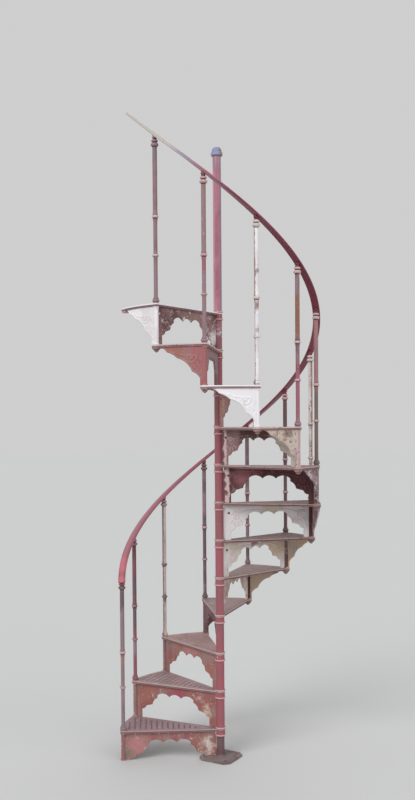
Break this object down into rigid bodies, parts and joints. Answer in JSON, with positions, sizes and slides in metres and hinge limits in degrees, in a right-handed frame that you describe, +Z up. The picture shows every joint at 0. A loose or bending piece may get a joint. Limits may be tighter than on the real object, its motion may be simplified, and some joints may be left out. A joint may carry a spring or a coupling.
{
  "type": "spiral staircase",
  "caption": "Cast-iron spiral stair that climbs clockwise round a newel, with pierced risers, curved side brackets, turned balusters and one helical handrail.",
  "frame": {"origin": "the newel's axis at the underside of the foot plate, on the floor", "axes": "+Z up along the newel; the lowest tread's front edge points along -X"},
  "size_m": [1.2238, 1.2236, 3.7784],
  "materials": {
    "base_iron": "dull brown paint and dirt",
    "newel_paint": "weathered pinkish red paint",
    "tread_paint": "worn grey-brown paint",
    "riser_paint": "flaking red and cream paint with rust",
    "string_paint": "flaking cream and red paint",
    "baluster_paint": "weathered mauve paint",
    "rail_paint": "crimson paint"
  },
  "bodies": {
    "root": {"base_plate": "base_iron", "newel_core": "newel_paint", "newel_sleeves": "newel_paint", "newel_post": "newel_paint", "newel_cap": "newel_paint", "tread_01": "tread_paint", "tread_02": "tread_paint", "tread_03": "tread_paint", "tread_04": "tread_paint", "tread_05": "tread_paint", "tread_06": "tread_paint", "tread_07": "tread_paint", "tread_08": "tread_paint", "tread_09": "tread_paint", "tread_10": "tread_paint", "tread_11": "tread_paint", "tread_12": "tread_paint", "riser_01": "riser_paint", "riser_02": "riser_paint", "riser_03": "riser_paint", "riser_04": "riser_paint", "riser_05": "riser_paint", "riser_06": "riser_paint", "riser_07": "riser_paint", "riser_08": "riser_paint", "riser_09": "riser_paint", "riser_10": "riser_paint", "riser_11": "riser_paint", "riser_12": "riser_paint", "string_01": "string_paint", "string_02": "string_paint", "string_03": "string_paint", "string_04": "string_paint", "string_05": "string_paint", "string_06": "string_paint", "string_07": "string_paint", "string_08": "string_paint", "string_09": "string_paint", "string_10": "string_paint", "string_11": "string_paint", "string_12": "string_paint", "balusters_lower": "baluster_paint", "balusters_middle": "baluster_paint", "balusters_upper": "baluster_paint", "handrail": "rail_paint"}
  },
  "joints": []
}
